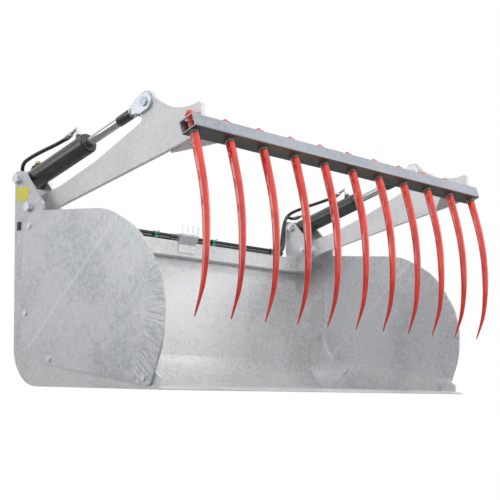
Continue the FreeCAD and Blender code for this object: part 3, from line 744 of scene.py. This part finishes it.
def torus(bm, middle, direction, big, small, around=40, thick=10, wobble=0.0):
    """A ring, such as a weld bead or a gland's rounded edge. wobble makes a bead's ripples."""
    turn = Vector((0, 0, 1)).rotation_difference(direction).to_matrix()
    rings = []
    for k in range(around):
        a = 2 * math.pi * k / around
        out = turn @ Vector((math.cos(a), math.sin(a), 0))
        size = small * (1 + wobble * math.sin(a * around / 2.6) + wobble * math.sin(a * 5))
        rings.append([bm.verts.new(middle + out * (big + math.cos(2 * math.pi * j / thick) * size)
                                   + direction * (math.sin(2 * math.pi * j / thick) * size))
                      for j in range(thick)])
    for k in range(around):
        a, b = rings[k], rings[(k + 1) % around]
        for j in range(thick):
            bm.faces.new((a[j], a[(j + 1) % thick], b[(j + 1) % thick], b[j]))


def bent(points, steps=7):
    """Straight runs joined by small rounded corners."""
    line = [points[0]]
    for a, b, c in zip(points, points[1:], points[2:]):
        back = min((a - b).length, (c - b).length) * 0.45
        first = b + (a - b).normalized() * back
        last = b + (c - b).normalized() * back
        for k in range(steps + 1):
            t = k / steps
            line.append(first.lerp(b, t).lerp(b.lerp(last, t), t))
    line.append(points[-1])
    return line


# %% Fittings, beads and lock nuts
def dress_cylinder(side, name):
    x = side * ARM_MID
    body = name + "_cylinder"
    bm = bmesh.new()
    sweep(bm, bent([on_cylinder(x, ROD_PORT, BOSS_TOP), on_cylinder(x, ROD_PORT, ELBOW_TOP),
                    on_cylinder(x, 323, ELBOW_TOP - 14)]), PIPE_RADIUS, 16)
    hexagon(bm, on_cylinder(x, ROD_PORT, BOSS_TOP), OVER, 12.5, 13)
    along = (on_cylinder(x, 323, ELBOW_TOP - 14) - on_cylinder(x, ROD_PORT, ELBOW_TOP)).normalized()
    hexagon(bm, on_cylinder(x, 323, ELBOW_TOP - 14) - along * 0.013, along, 11.0, 12)
    elbow = keep(name + "_rod_elbow_pipe", bm, ZINC, body)
    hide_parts(name + "_rod_elbow")

    bm = bmesh.new()
    sweep(bm, bent([on_cylinder(x, BASE_PORT, BOSS_TOP), on_cylinder(x, BASE_PORT, 70),
                    on_cylinder(x - side * 12, 22, 68)]), PIPE_RADIUS, 16)
    hexagon(bm, on_cylinder(x, BASE_PORT, BOSS_TOP), OVER, 12.0, 9)
    elbow = keep(name + "_base_elbow_pipe", bm, BRASS, body)
    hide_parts(name + "_base_elbow")

    bm = bmesh.new()
    for along in (ROD_PORT, BASE_PORT):
        torus(bm, on_cylinder(x, along, 45.5), OVER, 0.0165, 0.003, 32, 8, 0.1)
    torus(bm, on_cylinder(x, 18, 0), AXIS, 0.044, 0.0035, 48, 8, 0.1)
    keep(name + "_barrel_welds", bm, BLACK, body)

    bm = bmesh.new()
    torus(bm, on_cylinder(x, 438.2, 0), AXIS, 0.0435, 0.0022, 56, 8)
    torus(bm, on_cylinder(x, 447.2, 0), AXIS, 0.0235, 0.0024, 40, 8)
    keep(name + "_gland_rings", bm, BLACK, body)

    bm = bmesh.new()
    start = on_cylinder(x, 758, 0)
    hexagon(bm, start, AXIS, 22.5, 15)
    torus(bm, on_cylinder(x, 756.5, 0), AXIS, 0.0235, 0.0018, 40, 8)
    keep(name + "_lock_nut", bm, ZINC, name + "_piston_rod")


for side, name in SIDES:
    dress_cylinder(side, name)
    print("dressed the", name, "cylinder")

# %% [markdown]
# ## Camera
# The camera was solved from straight edges in the photograph: its place, its turn and a lens of 77.5 mm.
# Its three directions are written out, because angles would lose some of their precision.

# %% Camera
camera_data = bpy.data.cameras.new("camera")
camera_data.sensor_width = 36.0
camera_data.lens = 77.5
camera_data.clip_end = 100.0
camera = bpy.data.objects.new("camera", camera_data)
camera_right = Vector((0.69426206, -0.71942661, 0.02062878))
camera_up = Vector((-0.10369889, -0.07162636, 0.99202631))
camera_back = Vector((-0.71221257, -0.69086541, -0.12433120))
turn = Matrix((camera_right, camera_up, camera_back)).transposed().to_4x4()
camera.matrix_world = Matrix.Translation((-3.80119, -3.59789, 0.02584)) @ turn
scene.collection.objects.link(camera)
scene.camera = camera
print("camera at", tuple(camera.matrix_world.translation))

# %% [markdown]
# ## Studio
# The photograph has a white background without a horizon. More light would bleach the object, so the
# surround is white to the camera and in reflections, the floor nearly so to the camera, and the lamps
# stay soft. Light Path tells the shader which kind of ray is asking.

# %% White surround
world = bpy.data.worlds.new("surround")
scene.world = world
world.use_nodes = True
tree = world.node_tree
background = tree.nodes["Background"]
rays = add_node(tree, "LightPath", {})
seen = Socket(tree, rays.outputs["Is Camera Ray"])
for kind in ("Is Glossy Ray", "Is Transmission Ray"):
    seen = seen._math("MAXIMUM", Socket(tree, rays.outputs[kind]))
LIGHT_FROM_AROUND = 0.52
connect(tree, seen * (1 - LIGHT_FROM_AROUND) + LIGHT_FROM_AROUND, background.inputs["Strength"])
background.inputs["Color"].default_value = (1, 1, 1, 1)


# %% Lamps
def lamp(name, place, target, size, power):
    data = bpy.data.lights.new(name, "AREA")
    data.shape = "DISK"
    data.size = size
    data.energy = power
    obj = bpy.data.objects.new(name, data)
    obj.location = place
    obj.rotation_euler = (Vector(target) - Vector(place)).to_track_quat("-Z", "Y").to_euler()
    scene.collection.objects.link(obj)


lamp("key", (-1.4, -3.4, 6.0), (0, -0.1, 0.4), 2.0, 250)
lamp("fill", (4.5, -4.5, 2.5), (0, 0, 0.5), 3.0, 60)
lamp("side", (-4.6, 1.9, 1.5), (0, -0.6, 0.7), 2.2, 28)

# %% Floor
bm = bmesh.new()
bmesh.ops.create_grid(bm, x_segments=1, y_segments=1, size=40)
floor_paint = Material("floor", (0.34, 0.34, 0.33), 0.9)
floor = keep("floor", bm, floor_paint.mat, None)
floor.location = (0, 0, -0.001)
camera_ray = floor_paint.node("Is Camera Ray", "LightPath", {})
FLOOR_GLOW = 1.08
FLOOR_GLOW_SHARE = 0.90
glow = add_node(floor_paint.tree, "Emission", {"Strength": FLOOR_GLOW})
blend = add_node(floor_paint.tree, "MixShader", {0: camera_ray * FLOOR_GLOW_SHARE})
floor_paint.tree.links.new(floor_paint.shader.outputs[0], blend.inputs[1])
floor_paint.tree.links.new(glow.outputs[0], blend.inputs[2])
output = floor_paint.tree.nodes["Material Output"]
floor_paint.tree.links.new(blend.outputs[0], output.inputs[0])

scene.view_settings.view_transform = "Standard"
